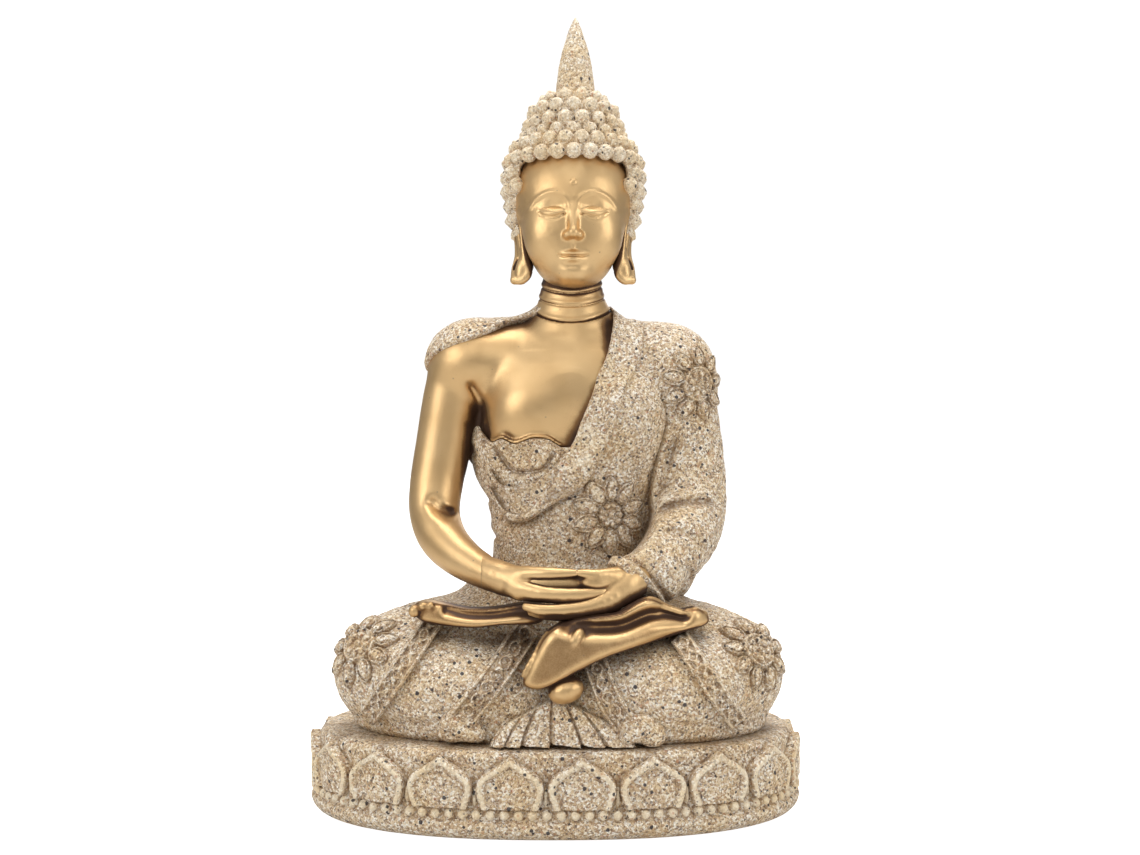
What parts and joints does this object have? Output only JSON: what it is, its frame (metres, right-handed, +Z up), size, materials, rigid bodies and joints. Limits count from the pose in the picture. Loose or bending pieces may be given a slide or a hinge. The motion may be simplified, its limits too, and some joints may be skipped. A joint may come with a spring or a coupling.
{
  "type": "statuette",
  "caption": "Seated meditation statuette on an oval lotus base: sandstone-look robe, hair and base, with antique-gold face, chest, hands and feet.",
  "frame": {"origin": "centre of the box round the object, at the underside of the base", "axes": "+Z up; the figure faces -Y; its own right side is at -X"},
  "size_m": [0.122, 0.078, 0.202],
  "materials": {
    "antique_gold": "satin antique-gold metallic paint on cast resin, with a dark brown wash left in the creases",
    "sandstone": "matt cast resin filled with cream, tan, orange-brown and grey sand grains"
  },
  "bodies": {
    "root": {"torso": "antique_gold", "right_upper_arm": "antique_gold", "right_forearm": "antique_gold", "neck": "antique_gold", "head": "antique_gold", "right_ear": "antique_gold", "left_ear": "antique_gold", "right_hand": "antique_gold", "left_hand": "antique_gold", "right_foot": "antique_gold", "left_foot": "antique_gold", "left_heel": "antique_gold", "lotus_base": "sandstone", "lap_robe": "sandstone", "robe_fan": "sandstone", "right_outer_band": "sandstone", "right_inner_band": "sandstone", "left_inner_band": "sandstone", "left_outer_band": "sandstone", "right_knee_flower": "sandstone", "left_knee_flower": "sandstone", "left_sleeve": "sandstone", "torso_robe": "sandstone", "chest_cloth": "sandstone", "shoulder_sash": "sandstone", "belly_flower": "sandstone", "shoulder_flower": "sandstone", "hair_cap": "sandstone", "ushnisha": "sandstone", "hair_flame": "sandstone", "lotus_petal_01": "sandstone", "lotus_petal_02": "sandstone", "lotus_petal_03": "sandstone", "lotus_petal_04": "sandstone", "lotus_petal_05": "sandstone", "lotus_petal_06": "sandstone", "lotus_petal_07": "sandstone", "lotus_petal_08": "sandstone", "lotus_petal_09": "sandstone", "lotus_petal_10": "sandstone", "lotus_petal_11": "sandstone", "lotus_petal_12": "sandstone", "lotus_petal_13": "sandstone", "lotus_petal_14": "sandstone", "lotus_petal_15": "sandstone", "lotus_petal_16": "sandstone", "lotus_petal_17": "sandstone", "lotus_petal_18": "sandstone", "lotus_petal_19": "sandstone", "lotus_petal_20": "sandstone"}
  },
  "joints": []
}
